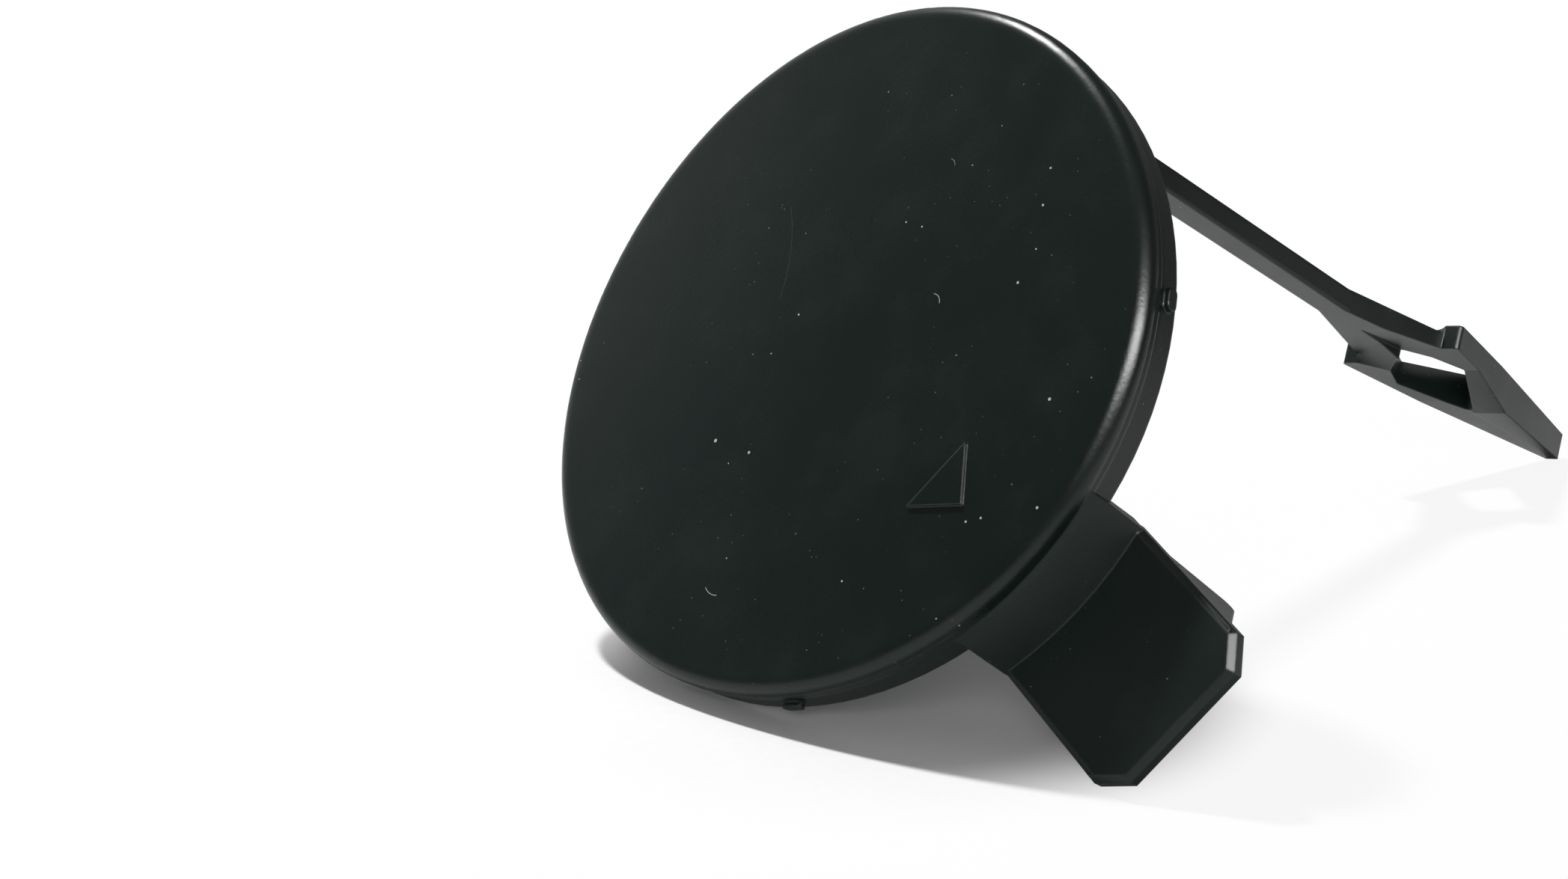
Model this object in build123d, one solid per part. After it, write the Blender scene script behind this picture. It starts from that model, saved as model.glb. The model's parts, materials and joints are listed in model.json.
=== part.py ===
from build123d import *
import math
import os

# A round cover for the tow hook hole in a bumper, moulded in one piece: a shallow cap with a
# tongue on one side that reaches behind the bumper skin, and a strap with a barbed head that
# keeps the cover on the car while it hangs open.
# Lengths are in millimetres and angles in degrees. The cover is drawn in its mould frame first:
# Z points out of the cap's face from a level close to its edge, and X points at the tongue.

# Cap, whose face is bowed one way like the bumper skin around it
cap_radius = 33.0
face_lift = 0.65
bow_drop = 1.45
bow_angle = 18.0
plate_wall = 1.8
edge_round = 1.1
parting_depth = 1.65
parting_step = 0.1
flange_depth = 2.45
collar_inset = 0.2
collar_wall = 1.5
collar_depth = 4.85

# Snap pips on the collar
pip_angle = 45.0
pip_width = 2.1
pip_height = 1.2
pip_proud = 0.5

# Raised mark on the face that points at the tongue
mark_edge_gap = 7.9
mark_length = 4.1
mark_half_width = 3.7
mark_proud = 0.3

# Tongue, with its neck leaning out from the collar
neck_lean = 1.9
neck_wall = 1.7
tongue_depth = 8.35
tongue_half_width = 8.3
tongue_reach = 14.2
tongue_wall = 1.5
tongue_tilt = 3.4
tongue_corner = 2.3
tongue_bevel = 0.5

# Gripping fins behind the tongue, measured outwards from the neck
fin_wall = 1.5
fin_side_gap = 0.1
fin_gap = 0.5
fin_peak_reach = 5.3
fin_reach = 11.5
fin_depth = 6.8
fin_round = 1.0

# Stiffening ribs under the cap
rib_wall = 1.2
rib_height = 2.2
rib_spacing = 13.0

# Strap
strap_angle = 125.0
strap_edge_gap = 1.65
strap_root_depth = 2.0
strap_bury = 1.2
strap_lean_out = 1.8
strap_lean_side = 4.8
strap_root_half_width = 2.25
strap_length = 68.0
strap_half_width = 1.9
strap_thick = 2.5
strap_round = 0.35

# Head, with its two legs set to opposite sides of the strap's middle
flare_length = 12.8
flare_half_width = 5.4
head_length = 35.2
barb_half_width = 7.4
barb_land = 0.6
barb_round = 0.5
tip_half_width = 0.8
head_thick = 4.4
tip_thick = 3.2
taper_length = 22.0
leg_level = 0.55
leg_fall = 8.0
fold_back = 3.8
fold_front = 5.2

# Window between the legs
window_length = 16.9
window_lead = 6.9
window_shoulder = 0.4
leg_wall = 1.8
window_round = 0.6

joint_overlap = 0.6

# Sizes that follow from the ones above
collar_radius = cap_radius - collar_inset
neck_radius = collar_radius + neck_lean
tongue_end = neck_radius + tongue_reach
barb_start = strap_length + flare_length
tip_end = barb_start + head_length


def bow_radius():
    """Radius of the bow across the face, from how far the edge drops."""
    return (cap_radius ** 2 + bow_drop ** 2) / (2 * bow_drop)


def under(depth):
    """Everything below the bowed surface that lies a depth under the face."""
    round_bar = Rot(0, 0, bow_angle) * Rot(90, 0, 0) * Cylinder(bow_radius() - depth, 4 * cap_radius)
    return Pos(0, 0, face_lift - bow_radius()) * round_bar


def level(x, y, depth):
    """Height of the bowed surface that lies a depth under the face."""
    angle = math.radians(bow_angle)
    across = x * math.cos(angle) + y * math.sin(angle)
    return face_lift - bow_radius() + math.sqrt((bow_radius() - depth) ** 2 - across ** 2)


def section(*edges):
    """Face on the XZ plane from edges drawn with X outwards and Y upwards."""
    return Plane.XZ * make_face(Curve() + list(edges))


def bowed_disc(radius, top, bottom):
    """Round plate between two depths under the face, bowed like it."""
    column = Cylinder(radius, 4 * collar_depth)
    return (column & under(top)) - under(bottom)


def cap():
    """Bowed plate with a rounded edge, a parting step on its side and a collar set inside it."""
    plate = bowed_disc(cap_radius, 0, parting_depth)
    plate = fillet(plate.faces().sort_by(Axis.Z)[-1].edges(), edge_round)
    flange = bowed_disc(cap_radius - parting_step, parting_depth, flange_depth)
    collar = bowed_disc(collar_radius, flange_depth, collar_depth)
    hollow = Cylinder(collar_radius - collar_wall, 4 * collar_depth) & under(plate_wall)
    return plate + flange + collar - hollow


def pips():
    """Two small rounded pips on the collar, one each side of the tongue."""
    radius = collar_radius - joint_overlap
    reach = joint_overlap + pip_proud
    depth = flange_depth + (collar_depth - flange_depth) / 2
    outline = SlotOverall(pip_width, pip_height)
    result = []
    for side in (-1, 1):
        angle = side * pip_angle
        out = Vector(math.cos(math.radians(angle)), math.sin(math.radians(angle)), 0)
        foot = out * radius
        foot.Z = level(foot.X, foot.Y, depth)
        seat = Plane(origin=foot, x_dir=Vector(-out.Y, out.X, 0), z_dir=out)
        result.append(extrude(seat * outline, reach))
    return result


def mark():
    """Raised triangle on the face."""
    tip = cap_radius - mark_edge_gap
    base = tip - mark_length
    plan = make_face(Polyline((tip, 0), (base, mark_half_width), (base, -mark_half_width), close=True))
    block = extrude(Pos(0, 0, -collar_depth) * plan, 2 * collar_depth)
    return (block & under(-mark_proud)) - under(joint_overlap)


def tongue_plan():
    """Plan of the neck and the tongue, with its two end corners cut off."""
    start = collar_radius - collar_wall - neck_wall
    side = tongue_half_width
    inner_end = tongue_end - tongue_corner
    inner_side = side - tongue_corner
    return make_face(Polyline(
        (start, -side),
        (inner_end, -side),
        (tongue_end, -inner_side),
        (tongue_end, inner_side),
        (inner_end, side),
        (start, side),
        close=True,
    ))


def tongue_front():
    """Plane of the tongue's front face, which falls away outwards from the neck."""
    tilt = math.radians(tongue_tilt)
    down = Vector(math.sin(tilt), 0, math.cos(tilt))
    outwards = Vector(math.cos(tilt), 0, -math.sin(tilt))
    return Plane(origin=(neck_radius, 0, -tongue_depth), x_dir=outwards, z_dir=down)


def tongue():
    """Neck that follows the collar's curve, and the flat tongue that stands out from it."""
    below = 2 * tongue_wall + (tongue_end - neck_radius) * math.tan(math.radians(tongue_tilt))
    root = -flange_depth + joint_overlap
    foot = -tongue_depth - tongue_wall / 2
    wall = section(Polyline(
        (collar_radius - neck_wall, root),
        (collar_radius, root),
        (collar_radius, -flange_depth),
        (neck_radius, -tongue_depth),
        (neck_radius, foot),
        (neck_radius - neck_wall, foot),
        (collar_radius - neck_wall, -flange_depth),
        close=True,
    ))
    slab_height = tongue_depth + below
    column = extrude(Pos(0, 0, -slab_height) * tongue_plan(), slab_height)
    neck = revolve(wall, Axis.Z) & column
    start = collar_radius - neck_wall
    front = tongue_front()
    reach = tongue_end - start + tongue_corner
    slab = front * Pos(start - neck_radius + reach / 2, 0, -tongue_wall / 2) * Box(
        reach, 4 * tongue_half_width, tongue_wall
    )
    inner = Pos(0, 0, -slab_height / 2) * Cylinder(neck_radius - neck_wall / 2, 2 * slab_height)
    plate = (slab & column) - inner
    top = plate.faces().sort_by(Axis.Z)[-1]
    outer_edges = [edge for edge in top.edges() if edge.center().X > neck_radius + tongue_bevel]
    plate = chamfer(outer_edges, tongue_bevel)
    return neck + plate


def fins():
    """Two triangular fins that press on the back of the bumper skin as the tongue goes in."""
    top = -tongue_depth - tongue_wall / 2
    peak = -tongue_depth - tongue_wall - fin_depth
    outline = make_face(Polyline(
        (neck_radius + fin_gap, top),
        (neck_radius + fin_reach, top),
        (neck_radius + fin_peak_reach, peak),
        close=True,
    ))
    corner = outline.vertices().sort_by(Axis.Y)[0]
    outline = fillet(corner, fin_round)
    blade = extrude(Plane.XZ * outline, fin_wall / 2, both=True)
    offset = tongue_half_width - fin_side_gap - fin_wall / 2
    return [Pos(0, side * offset, 0) * blade for side in (-1, 1)]


def ribs():
    """Two ribs across the cap in line with the tongue, and one behind its root."""
    room = bowed_disc(collar_radius - collar_wall / 2, plate_wall - joint_overlap, plate_wall + rib_height)
    long_rib = Box(2 * cap_radius, rib_wall, 4 * collar_depth)
    cross_rib = Box(rib_wall, 2 * cap_radius, 4 * collar_depth)
    return [Pos(0, side * rib_spacing / 2, 0) * long_rib & room for side in (-1, 1)] + [cross_rib & room]


def strap_plane():
    """Plane of the strap: X runs along it from the root, Y across its width."""
    angle = math.radians(strap_angle)
    out = Vector(math.cos(angle), math.sin(angle), 0)
    side = Vector(math.sin(angle), -math.cos(angle), 0)
    along = (
        Vector(0, 0, -1)
        + out * math.tan(math.radians(strap_lean_out))
        + side * math.tan(math.radians(strap_lean_side))
    ).normalized()
    origin = out * (cap_radius - strap_edge_gap) - Vector(0, 0, strap_root_depth)
    return Plane(origin=origin, x_dir=along, z_dir=along.cross(side))


def half_outline():
    """Outline of one half of the strap and the head, from the middle line to the barb's side."""
    outline = make_face(Polyline(
        (-strap_bury, 0),
        (-strap_bury, strap_root_half_width),
        (strap_length, strap_half_width),
        (barb_start, flare_half_width),
        (barb_start, barb_half_width),
        (barb_start + barb_land, barb_half_width),
        (tip_end, tip_half_width),
        (tip_end, 0),
        close=True,
    ))
    return fillet(outline.vertices().sort_by(Axis.Y)[-2:].sort_by(Axis.X)[0], barb_round)


def half_side():
    """Side view of one half, which reaches further to its own side of the strap's middle."""
    return Plane.XZ * make_face(Polyline(
        (-strap_bury, -head_thick / 2),
        (tip_end - taper_length, -head_thick / 2),
        (tip_end, -tip_thick / 2),
        (tip_end, tip_thick / 2),
        (barb_start + window_length, head_thick / 2),
        (barb_start + window_lead, leg_level),
        (barb_start, leg_level),
        (barb_start - leg_fall, strap_thick / 2),
        (-strap_bury, strap_thick / 2),
        close=True,
    ))


def fold_section(side, crease, foot):
    """Side view of what lies beyond the strap's thickness, up to the fold from crease to foot."""
    return Plane.XZ.offset(-side) * make_face(Polyline(
        (-2 * strap_bury, -strap_thick / 2),
        (crease, -strap_thick / 2),
        (foot, -head_thick / 2),
        (foot, -head_thick),
        (-2 * strap_bury, -head_thick),
        close=True,
    ))


def half_strap():
    """One half of the strap and its head: its leg folds out of the strap's thickness to the barb."""
    body = extrude(half_outline(), head_thick, both=True)
    body &= extrude(half_side(), 2 * barb_half_width, both=True)
    middle = fold_section(0, barb_start - fold_back, barb_start + fold_front)
    edge = fold_section(flare_half_width, barb_start - leg_fall / 40, barb_start)
    return body - loft([middle, edge], ruled=True)


def window():
    """Outline of the opening between the head's two legs."""
    wide = barb_start + window_lead
    slope = (barb_half_width - tip_half_width) / (tip_end - barb_start)
    half = barb_half_width - slope * window_lead - leg_wall
    outline = make_face(Polyline(
        (barb_start, 0),
        (barb_start + window_shoulder * window_lead, (1 - window_shoulder) * half),
        (wide, half),
        (barb_start + window_length, 0),
        (wide, -half),
        (barb_start + window_shoulder * window_lead, (window_shoulder - 1) * half),
        close=True,
    ))
    return fillet(outline.vertices(), window_round)


def strap():
    """Strap with its barbed head: the second half is the first one turned about the middle line."""
    half = half_strap()
    body = half + Rot(180, 0, 0) * half
    long_edges = [edge for edge in body.edges() if edge.length > strap_length / 2]
    body = fillet(long_edges, strap_round)
    body -= extrude(window(), head_thick, both=True)
    return strap_plane() * body


def cover():
    """The whole cover as one solid in its mould frame."""
    body = cap() + tongue() + fins() + ribs() + strap() + pips() + mark()
    return body.solid()


def lowest(points, up):
    """Point of a list that lies lowest when up points away from the ground."""
    return min(points, key=lambda point: point.dot(up))


def rim_point(angle, radius, depth):
    """Point of the cap's side at an angle, a radius and a depth under the face."""
    x = radius * math.cos(angle)
    y = radius * math.sin(angle)
    return Vector(x, y, level(x, y, depth))


def resting_plane():
    """Plane that the cover lies on: it touches the cap's edge, the tongue and the head's tip."""
    strap_frame = strap_plane()
    tongue_frame = tongue_front()
    half_tip = tip_thick / 2
    tips = [
        strap_frame.from_local_coords(Vector(tip_end, y, z))
        for y in (-tip_half_width, tip_half_width)
        for z in (-half_tip, half_tip)
    ]
    length = tongue_reach / math.cos(math.radians(tongue_tilt))
    inner_side = tongue_half_width - tongue_corner
    tongue_points = [
        tongue_frame.from_local_coords(Vector(x, y, -tongue_wall))
        for x, y in ((length, -inner_side), (length - tongue_corner, -tongue_half_width))
    ]
    fin_side = tongue_half_width - fin_side_gap
    fin_low = tongue_depth + tongue_wall + fin_depth - fin_round / 2
    tongue_points.append(Vector(neck_radius + fin_peak_reach, -fin_side, -fin_low))
    rings = ((cap_radius, edge_round), (cap_radius, parting_depth), (collar_radius, collar_depth))
    shifts = range(-8, 9)
    up = Vector(-0.4, 0.74, 0.54)
    for step in range(12):
        below = math.atan2(-up.Y, -up.X)
        rim_points = [
            rim_point(below + math.radians(shift / 2), radius, depth)
            for shift in shifts
            for radius, depth in rings
        ]
        rim = lowest(rim_points, up)
        tip = lowest(tips, up)
        toe = lowest(tongue_points, up)
        normal = (tip - rim).cross(toe - rim).normalized()
        up = normal if normal.dot(up) > 0 else -normal
    along = Vector(0, 0, -1)
    flat_along = along - up * along.dot(up)
    return Plane(origin=rim, x_dir=flat_along, z_dir=up)


def resting_cover():
    """The cover as it lies on level ground, with its origin under the middle of its box."""
    resting = resting_plane()
    body = resting.to_local_coords(cover())
    box = body.bounding_box()
    shift = Pos(-box.center().X, -box.center().Y, -box.min.Z)
    return resting, shift, shift * body


if __name__ == "__main__":
    os.makedirs("parts", exist_ok=True)
    resting, shift, body = resting_cover()
    export_step(body, "parts/tow_hook_cover.step")
    print("solids", len(body.solids()), "volume", round(body.volume, 1), "valid", body.is_valid)
    print("size", body.bounding_box().size)
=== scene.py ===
import bpy
import json
import math
from mathutils import Euler, Matrix, Quaternion, Vector

# The tow hook cover lies on a pale floor as it was found: on the rim of its cap, the end of its
# tongue and the tip of its strap. The cap's own axes have X towards the tongue and Z out of the
# face, and places on the cap are in millimetres along them.

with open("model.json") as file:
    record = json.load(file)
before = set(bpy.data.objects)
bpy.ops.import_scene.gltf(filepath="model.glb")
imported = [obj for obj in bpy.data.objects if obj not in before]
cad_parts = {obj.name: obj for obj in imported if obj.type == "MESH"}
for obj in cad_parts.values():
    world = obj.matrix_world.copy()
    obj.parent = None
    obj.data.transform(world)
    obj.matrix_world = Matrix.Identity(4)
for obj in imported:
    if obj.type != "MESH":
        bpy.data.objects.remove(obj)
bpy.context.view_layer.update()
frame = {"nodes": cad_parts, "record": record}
cover = frame["nodes"]["tow_hook_cover"]
print("frame loaded", len(cover.data.polygons), "faces")

collarBelow = 0.00365    # metres from the cap's origin down to the collar's mount


def capMatrix(record):  # the cap's axes in the row frame, from where the collar and the tongue are
    mounts = {mount["name"]: mount for mount in record["mounts"]}
    collar, tongue = mounts["collar"], mounts["tongue_front"]
    zAxis = -Vector(collar["axis"]).normalized()
    origin = Vector(collar["pos_m"]) + zAxis * collarBelow
    towards = Vector(tongue["pos_m"]) - origin
    xAxis = (towards - zAxis * towards.dot(zAxis)).normalized()
    yAxis = zAxis.cross(xAxis)
    turn = Matrix((xAxis, yAxis, zAxis)).transposed().to_4x4()
    return Matrix.Translation(origin) @ turn


cap = capMatrix(frame["record"])

cameraPlan = {    # where the photograph was taken from
    "place": (0.1544814, 0.0358159, 0.1489641),   # metres, in the cap's axes
    "turn": (27.456881, 38.997980, 56.122539),    # degrees, in the cap's axes
    "lens": 56.088,
    "sensor": 36.0,
    "nearest": 0.01,
    "farthest": 20.0,
}


def makeCamera(plan):
    data = bpy.data.cameras.new("camera")
    data.lens = plan["lens"]
    data.sensor_width = plan["sensor"]
    data.clip_start = plan["nearest"]
    data.clip_end = plan["farthest"]
    camera = bpy.data.objects.new("camera", data)
    bpy.context.scene.collection.objects.link(camera)
    turn = Euler([math.radians(angle) for angle in plan["turn"]]).to_matrix().to_4x4()
    camera.matrix_world = cap @ Matrix.Translation(plan["place"]) @ turn
    bpy.context.scene.camera = camera
    return camera


camera = makeCamera(cameraPlan)
print("camera at", [round(x, 4) for x in camera.matrix_world.translation])


class Wire:  # a node's output, whose operators add Math nodes to the tree in hand
    tree = None

    def __init__(self, socket):
        self.socket = socket

    @staticmethod
    def node(kind, settings=None, inputs=None, output=0):
        made = Wire.tree.nodes.new(kind)
        for name, value in (settings or {}).items():
            setattr(made, name, value)
        for name, value in (inputs or {}).items():
            target = made.inputs[name]
            if isinstance(value, Wire):
                Wire.tree.links.new(value.socket, target)
            else:
                target.default_value = value
        return Wire(made.outputs[output] if made.outputs else None)

    def maths(self, operation, other=None, clamp=False):
        inputs = {0: self} if other is None else {0: self, 1: other}
        return Wire.node("ShaderNodeMath", {"operation": operation, "use_clamp": clamp}, inputs)

    def __add__(self, other):
        return self.maths("ADD", other)

    def __radd__(self, other):
        return self.maths("ADD", other)

    def __sub__(self, other):
        return self.maths("SUBTRACT", other)

    def __rsub__(self, other):
        return Wire.node("ShaderNodeMath", {"operation": "SUBTRACT"}, {0: other, 1: self})

    def __mul__(self, other):
        return self.maths("MULTIPLY", other)

    def __rmul__(self, other):
        return self.maths("MULTIPLY", other)

    def __abs__(self):
        return self.maths("ABSOLUTE")

    def most(self, other):
        return self.maths("MAXIMUM", other)

    def fade(self, full, none):  # 1 at full and past it, 0 at none and past it, smooth between
        return Wire.node(
            "ShaderNodeMapRange", {"interpolation_type": "SMOOTHSTEP", "clamp": True},
            {"Value": self, "From Min": full, "From Max": none, "To Min": 1.0, "To Max": 0.0},
        )

    def twin(self, name):  # another output of the same node
        return Wire(self.socket.node.outputs[name])


def vectorMaths(operation, first, second=None, output=0):
    inputs = {0: first} if second is None else {0: first, 1: second}
    return Wire.node("ShaderNodeVectorMath", {"operation": operation}, inputs, output)


def blend(share, first, second):  # colours, first where share is 0
    inputs = {0: share, 6: first, 7: second}
    return Wire.node("ShaderNodeMix", {"data_type": "RGBA"}, inputs, output=2)


def blendWays(share, first, second):  # vectors, first where share is 0
    inputs = {0: share, 4: first, 5: second}
    return Wire.node("ShaderNodeMix", {"data_type": "VECTOR"}, inputs, output=1)


def noise(where, plan):
    scale, detail, roughness = plan
    inputs = {"Vector": where, "Scale": scale, "Detail": detail, "Roughness": roughness}
    return Wire.node("ShaderNodeTexNoise", None, inputs)


def bump(height, plan, normal):
    strength, distance = plan
    inputs = {"Strength": strength, "Distance": distance, "Height": height, "Normal": normal}
    return Wire.node("ShaderNodeBump", None, inputs)


def newMaterial(name):
    material = bpy.data.materials.new(name)
    material.use_nodes = True
    material.node_tree.nodes.clear()
    Wire.tree = material.node_tree
    return material


capZones = {    # parts of the cap, in millimetres: each pair is where a zone is full and where it ends
    "bowAngle": 18,              # degrees from X, the way across which the face is bowed
    "bowDrop": 1.45,
    "bowRadius": 33.0,
    "faceTop": 0.65,
    "faceHeight": (-0.05, -0.35),
    "rimOut": (30.4, 29.4),      # distance from the middle
    "rimHeight": (-1.5, -1.6),
    "shownOut": (33.3, 34.0),    # the face, rim and flange, which are polished
    "shownHeight": (-2.6, -3.2),
}

plastic = {    # the black moulded plastic of the whole cover
    "base": (0.0036, 0.0086, 0.0072, 1),
    "baseLift": 1.25,                     # how much lighter its light patches are
    "worn": (0.030, 0.036, 0.034, 1),     # edges rubbed by handling
    "wear": 6.0,
    "film": (0.020, 0.023, 0.022, 1),     # thin dust in clouds
    "filmShare": 0.10,
    "filmFrom": (0.66, 0.50),
    "dust": (0.42, 0.44, 0.42, 1),
    "specular": 0.32,
    "roughness": 0.27,                    # where it is polished
    "backRoughness": 0.12,                # added elsewhere
    "patchRoughness": 0.16,
    "cloudRoughness": 0.08,
    "wornPolish": 0.06,
    "dustRoughness": 0.85,
    "edgeRadius": 0.00028,
    "edgeSamples": 6,
    "rimRadius": 0.0012,                  # the cap's edge looks softer than the others
    "rimSamples": 10,
    "patches": (38.0, 3.0, 0.55),         # noise: scale per metre, detail, roughness
    "clouds": (150.0, 4.0, 0.6),
    "grain": (5200.0, 2.0, 0.6),
    "streaks": (3.2, 3.0, 0.65),          # scale per millimetre
    "streakStretch": 0.12,
    "pebbleScale": 2340.0,
    "pebbleShare": 0.5,
    "cloudBump": (0.6, 0.000008),         # strength, height in metres
    "streakBump": (0.8, 0.000006),
    "grainBump": (0.8, 0.000012),
}

fineDust = {    # scale per metre, how near a cell's middle, which random values, where, strength
    "coarse": {"scale": 950.0, "near": (0.045, 0.085), "value": "Red", "few": (0.91, 0.85),
               "where": (0.62, 0.46), "strength": 1.0},
    "fine": {"scale": 2100.0, "near": (0.06, 0.12), "value": "Green", "few": (0.95, 0.90),
             "where": (0.60, 0.45), "strength": 0.6},
}

faceMarks = {
    "specks": [    # x, y, radius in millimetres
        (-1.34, -13.85, 0.17), (2.96, -11.94, 0.14), (24.2, 11.15, 0.14), (30.67, 4.47, 0.12),
        (26.45, -0.72, 0.10), (27.31, 0.43, 0.10), (21.15, -12.15, 0.09), (7.47, 24.57, 0.10),
        (9.65, 21.9, 0.11), (0.62, 13.15, 0.08), (-1.25, 12.39, 0.08), (12.37, 18.9, 0.08),
        (13.37, 15.85, 0.12), (-3.92, -0.46, 0.10), (-3.31, -4.72, 0.07),
    ],
    "speckEdge": (0.7, 1.25),    # shares of the radius
    # centre's x and y, bend's radius, half width, way to the arc's middle and half its span in
    # degrees, strength
    "hairs": [
        (10.41, -20.83, 1.75, 0.035, -75, 30, 0.75),
        (7.58, 9.21, 0.9, 0.035, 80, 45, 0.7),
        (-1.89, 18.43, 0.75, 0.03, 80, 40, 0.4),
        (-21.89, -10.48, 17.5, 0.03, 49, 17, 0.07),
    ],
    "hairEdge": (0.5, 1.4),      # shares of the half width
    "hairEnd": 0.9,              # share of the span where a hair starts to fade
}


def placeOnCap(here):  # millimetres along the cap's axes: the offset from its origin on each axis
    offset = vectorMaths("SUBTRACT", here, tuple(cap.translation))
    axes = [tuple(row[:3]) for row in cap.inverted()][:3]
    return [vectorMaths("DOT_PRODUCT", offset, axis, output=1) * 1000 for axis in axes]


def heightOnFace(x, y, z, plan):  # how far above the face, which falls with the square of the way across
    angle = math.radians(plan["bowAngle"])
    across = x * math.cos(angle) + y * math.sin(angle)
    return z + across * across * (plan["bowDrop"] / plan["bowRadius"] ** 2) - plan["faceTop"]


def dustCells(here, plan, amount):  # a speck at the middle of the few cells with a high random value
    cells = Wire.node("ShaderNodeTexVoronoi", {"feature": "F1"}, {"Vector": here, "Scale": plan["scale"]})
    values = Wire.node("ShaderNodeSeparateColor", None, {0: cells.twin("Color")})
    few = values.twin(plan["value"]).fade(*plan["few"])
    return cells.fade(*plan["near"]) * few * amount.fade(*plan["where"]) * plan["strength"]


def specks(flat, plan):  # a soft dot where the distance to its middle is under its radius
    inner, outer = plan["speckEdge"]
    whole = None
    for x, y, radius in plan["specks"]:
        away = vectorMaths("DISTANCE", flat, (x, y, 0.0), output=1)
        dot = away.fade(radius * inner, radius * outer)
        whole = dot if whole is None else whole.most(dot)
    return whole


def hairs(flat, plan):  # an arc where the distance to its centre is near its bend's radius
    inner, outer = plan["hairEdge"]
    whole = None
    for x, y, bend, half, aim, span, strength in plan["hairs"]:
        arm = vectorMaths("SUBTRACT", flat, (x, y, 0.0))
        off = abs(vectorMaths("LENGTH", arm, output=1) - bend)
        way = (math.cos(math.radians(aim)), math.sin(math.radians(aim)), 0.0)
        ahead = vectorMaths("DOT_PRODUCT", vectorMaths("NORMALIZE", arm), way, output=1)
        within = ahead.fade(math.cos(math.radians(span * plan["hairEnd"])), math.cos(math.radians(span)))
        arc = off.fade(half * inner, half * outer) * within * strength
        whole = arc if whole is None else whole.most(arc)
    return whole


def coverPlastic(plan, zones, dustPlan, marks):
    material = newMaterial("mouldedPlastic")
    node = Wire.node
    here = node("ShaderNodeTexCoord", output=3)
    x, y, z = placeOnCap(here)
    flat = node("ShaderNodeCombineXYZ", None, {0: x, 1: y})
    out = vectorMaths("LENGTH", flat, output=1)
    height = heightOnFace(x, y, z, zones)
    onFace = height.fade(*zones["faceHeight"])
    onRim = out.fade(*zones["rimOut"]) * height.fade(*zones["rimHeight"])
    shown = out.fade(*zones["shownOut"]) * height.fade(*zones["shownHeight"])

    patches = noise(here, plan["patches"])
    clouds = noise(here, plan["clouds"])
    grain = noise(here, plan["grain"])
    pebbles = node("ShaderNodeTexVoronoi", None, {"Vector": here, "Scale": plan["pebbleScale"]})
    stretch = plan["streakStretch"]    # streaks are short across the edge and long round it
    around = node("ShaderNodeCombineXYZ", None, {0: out - height, 1: x * stretch, 2: y * stretch})
    streaks = noise(around, plan["streaks"])

    sharp = node("ShaderNodeBevel", {"samples": plan["edgeSamples"]}, {"Radius": plan["edgeRadius"]})
    broad = node("ShaderNodeBevel", {"samples": plan["rimSamples"]}, {"Radius": plan["rimRadius"]})
    facet = node("ShaderNodeNewGeometry", output=1)
    bend = 1 - vectorMaths("DOT_PRODUCT", sharp, facet, output=1)
    edge = (bend * plan["wear"]).maths("MULTIPLY", clouds, clamp=True)

    fine = dustCells(here, dustPlan["coarse"], clouds).most(dustCells(here, dustPlan["fine"], patches))
    dust = (specks(flat, marks).most(hairs(flat, marks)) * onFace).most(fine)

    lighter = tuple(value * plan["baseLift"] for value in plan["base"][:3]) + (1,)
    colour = blend(patches, plan["base"], lighter)
    colour = blend(clouds.fade(*plan["filmFrom"]) * plan["filmShare"], colour, plan["film"])
    colour = blend(edge, colour, plan["worn"])
    colour = blend(dust, colour, plan["dust"])

    rough = (1 - shown) * plan["backRoughness"] + plan["roughness"]
    rough = rough + (patches - 0.5) * plan["patchRoughness"] + (clouds - 0.5) * plan["cloudRoughness"]
    rough = (rough - edge * plan["wornPolish"]).most(dust * plan["dustRoughness"])

    normal = bump(clouds, plan["cloudBump"], blendWays(onRim, sharp, broad))
    normal = bump(streaks * onRim, plan["streakBump"], normal)
    normal = bump(grain + pebbles * plan["pebbleShare"], plan["grainBump"], normal)

    shader = node("ShaderNodeBsdfPrincipled", None, {
        "Base Color": colour, "Roughness": rough, "Normal": normal, "Specular IOR Level": plan["specular"],
    })
    node("ShaderNodeOutputMaterial", None, {"Surface": shader})
    return material


cover.data.materials.clear()
cover.data.materials.append(coverPlastic(plastic, capZones, fineDust, faceMarks))
print("cover finished")

floorPlan = {    # a wide disc, which the camera sees as white away from the shadow under the cap
    "radius": 3.0,
    "corners": 96,
    "light": (0.88, 0.88, 0.88, 1),
    "dark": (0.84, 0.84, 0.835, 1),
    "grain": (900.0, 3.0, 0.5),
    "shadowMiddle": (-0.052, 0.0, 0.0),
    "shadowRadius": 0.020,
    "sideRadius": 0.037,
    "sideShare": 0.90,         # of plain white from there on
    "whiteRadius": 0.16,       # all white from there on
    "whiteStrength": 1.0,
}


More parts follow.
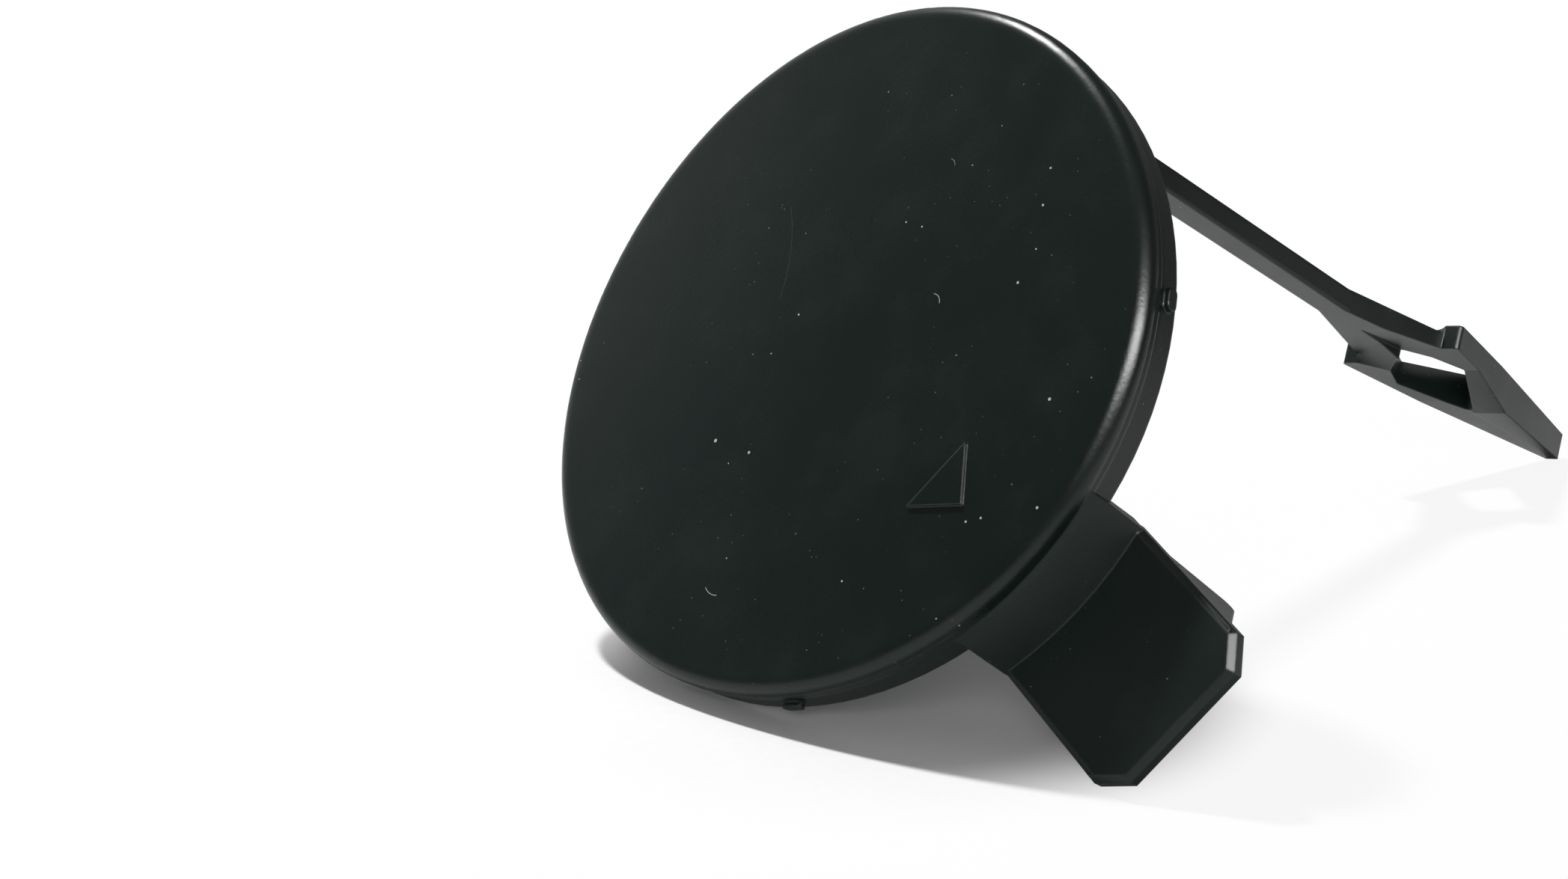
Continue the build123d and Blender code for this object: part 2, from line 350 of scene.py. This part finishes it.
def makeFloor(plan):
    turns = [corner * math.tau / plan["corners"] for corner in range(plan["corners"])]
    ring = [(plan["radius"] * math.cos(turn), plan["radius"] * math.sin(turn), 0) for turn in turns]
    mesh = bpy.data.meshes.new("floor")
    mesh.from_pydata(ring, [], [tuple(range(len(ring)))])
    floor = bpy.data.objects.new("floor", mesh)
    bpy.context.scene.collection.objects.link(floor)
    material = newMaterial("paleFloor")
    node = Wire.node
    here = node("ShaderNodeTexCoord", output=3)
    away = vectorMaths("DISTANCE", here, plan["shadowMiddle"], output=1)
    side = 1 - away.fade(plan["shadowRadius"], plan["sideRadius"])
    beyond = 1 - away.fade(plan["sideRadius"], plan["whiteRadius"])
    white = (side * plan["sideShare"]).most(beyond)
    seen = node("ShaderNodeLightPath", output=0)    # by the camera itself
    tone = blend(noise(here, plan["grain"]), plan["light"], plan["dark"])
    lit = node("ShaderNodeBsdfDiffuse", None, {"Color": tone})
    bright = node("ShaderNodeEmission", None, {"Strength": plan["whiteStrength"]})
    mixed = node("ShaderNodeMixShader", None, {0: white * seen, 1: lit, 2: bright})
    node("ShaderNodeOutputMaterial", None, {"Surface": mixed})
    mesh.materials.append(material)


makeFloor(floorPlan)

roomPlan = {    # a dim room with one pale side, which the camera sees as white
    "dim": 0.165,
    "pale": 0.85,
    "paleWay": (0.173, 0.979, 0.105),
    "paleSpan": (0.98, 0.60),    # cosines of the angle from there, where it is full and where it ends
}


def makeRoom(plan):
    world = bpy.data.worlds.new("room")
    world.use_nodes = True
    world.node_tree.nodes.clear()
    Wire.tree = world.node_tree
    node = Wire.node
    way = node("ShaderNodeTexCoord", output=0)
    facing = vectorMaths("DOT_PRODUCT", way, plan["paleWay"], output=1)
    light = facing.fade(*plan["paleSpan"]) * (plan["pale"] - plan["dim"]) + plan["dim"]
    seen = node("ShaderNodeLightPath", output=0)
    background = node("ShaderNodeBackground", None, {"Strength": light.most(seen)})
    node("ShaderNodeOutputWorld", None, {"Surface": background})
    bpy.context.scene.world = world


makeRoom(roomPlan)

boxAim = (-0.03, 0.0, 0.02)

softBoxes = {    # azimuth, elevation and roll in degrees, distance, width and height in metres, watts
    "keyBox": {"az": 92, "el": 62, "roll": 0, "far": 0.70, "size": (0.06, 0.06), "power": 5.0,
               "onFloor": True, "inGloss": True},
    "rimBox": {"az": -111, "el": 38, "roll": -21, "far": 0.55, "size": (0.55, 0.12), "power": 7.6,
               "onFloor": False, "inGloss": True},     # gives the cap's edge its highlight
    "fillBox": {"az": -144, "el": 20, "roll": 0, "far": 0.90, "size": (0.40, 0.40), "power": 2.2,
                "onFloor": True, "inGloss": False},    # lifts the shadow
}


def makeBox(name, plan):
    data = bpy.data.lights.new(name, "AREA")
    data.shape = "RECTANGLE"
    data.size, data.size_y = plan["size"]
    data.energy = plan["power"]
    box = bpy.data.objects.new(name, data)
    az, el = math.radians(plan["az"]), math.radians(plan["el"])
    way = Vector((math.cos(az) * math.cos(el), math.sin(az) * math.cos(el), math.sin(el)))
    roll = Quaternion((0, 0, 1), math.radians(plan["roll"]))
    box.location = Vector(boxAim) + way * plan["far"]
    box.rotation_euler = (way.to_track_quat("Z", "Y") @ roll).to_euler()
    box.visible_diffuse = plan["onFloor"]    # off for the box that gives gloss alone
    box.visible_glossy = plan["inGloss"]     # off for the box that only lifts the shadow
    bpy.context.scene.collection.objects.link(box)


for name, plan in softBoxes.items():
    makeBox(name, plan)
print("light and floor set")

bpy.context.scene.view_settings.view_transform = "Standard"
